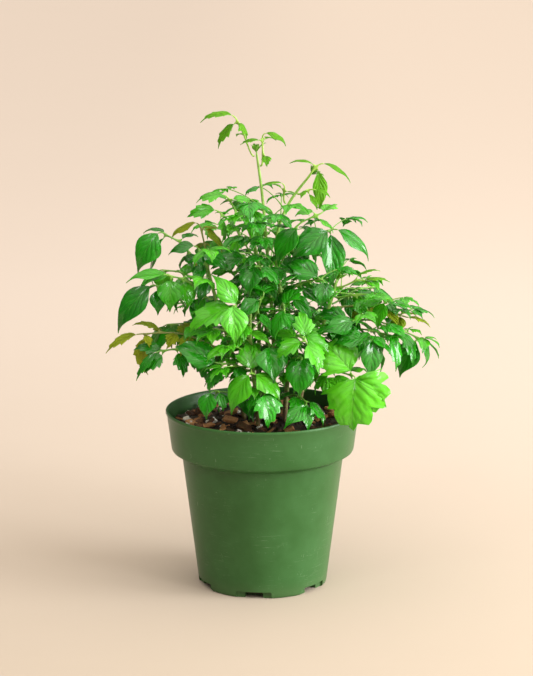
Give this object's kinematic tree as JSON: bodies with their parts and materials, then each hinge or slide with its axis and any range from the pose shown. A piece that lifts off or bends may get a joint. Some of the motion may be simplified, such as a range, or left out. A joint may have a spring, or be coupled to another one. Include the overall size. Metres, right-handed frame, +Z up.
{
  "type": "potted china doll plant",
  "caption": "Bushy young china doll plant with glossy compound leaves on slender stems, growing in a round tapered nursery pot of green plastic with a deep collar and drain notches.",
  "frame": {"origin": "centre of the pot's flat foot, on the surface it stands on", "axes": "+Z up along the pot's axis; -Y is the front, the side the picture shows; +X is to the right seen from the front"},
  "size_m": [0.2609, 0.1709, 0.3748],
  "materials": {
    "pot": "satin",
    "potting_mix": "matte",
    "stem": "satin",
    "leaf_mature": "gloss",
    "leaf_fresh": "gloss",
    "leaf_young": "satin",
    "leaf_olive": "satin"
  },
  "bodies": {
    "root": {"leaf_back_left": "leaf_mature", "leaf_back_left_low": "leaf_mature", "leaf_back_middle": "leaf_mature", "leaf_back_right": "leaf_mature", "leaf_back_right_low": "leaf_mature", "leaf_back_top": "leaf_fresh", "leaf_centre": "leaf_mature", "leaf_centre_dark": "leaf_mature", "leaf_centre_low": "leaf_mature", "leaf_centre_right": "leaf_mature", "leaf_crown_back": "leaf_fresh", "leaf_crown_left": "leaf_young", "leaf_crown_right": "leaf_young", "leaf_east_back": "leaf_mature", "leaf_east_back_low": "leaf_mature", "leaf_front_left": "leaf_fresh", "leaf_front_left_dark": "leaf_mature", "leaf_front_right": "leaf_fresh", "leaf_left_back": "leaf_olive", "leaf_left_far": "leaf_mature", "leaf_left_low": "leaf_mature", "leaf_left_middle": "leaf_mature", "leaf_left_row": "leaf_fresh", "leaf_left_serrate": "leaf_mature", "leaf_left_young": "leaf_olive", "leaf_low_front": "leaf_fresh", "leaf_low_front_right": "leaf_mature", "leaf_middle_back": "leaf_mature", "leaf_right_far": "leaf_mature", "leaf_right_far_top": "leaf_olive", "leaf_right_feathery": "leaf_young", "leaf_right_hanging": "leaf_mature", "leaf_right_inner": "leaf_mature", "leaf_right_shade": "leaf_mature", "leaf_right_upper": "leaf_fresh", "leaf_rim_left": "leaf_mature", "leaf_rim_right": "leaf_mature", "leaf_sprig_left": "leaf_young", "leaf_sprig_right": "leaf_young", "leaf_sprig_top": "leaf_young", "leaf_star": "leaf_fresh", "leaf_star_low": "leaf_mature", "leaf_upper_centre": "leaf_mature", "leaf_upper_dark": "leaf_mature", "leaf_upper_left": "leaf_fresh", "leaf_upper_left_low": "leaf_fresh", "leaf_upper_middle": "leaf_fresh", "leaf_upper_right": "leaf_mature", "leaf_upper_right_back": "leaf_fresh", "leaf_west_back": "leaf_fresh", "leaf_west_back_low": "leaf_mature", "pot": "pot", "soil": "potting_mix", "stem_back": "stem", "stem_east": "stem", "stem_front": "stem", "stem_sprig": "stem", "stem_tall": "stem", "stem_upper_left": "stem", "stem_west": "stem"}
  },
  "joints": []
}
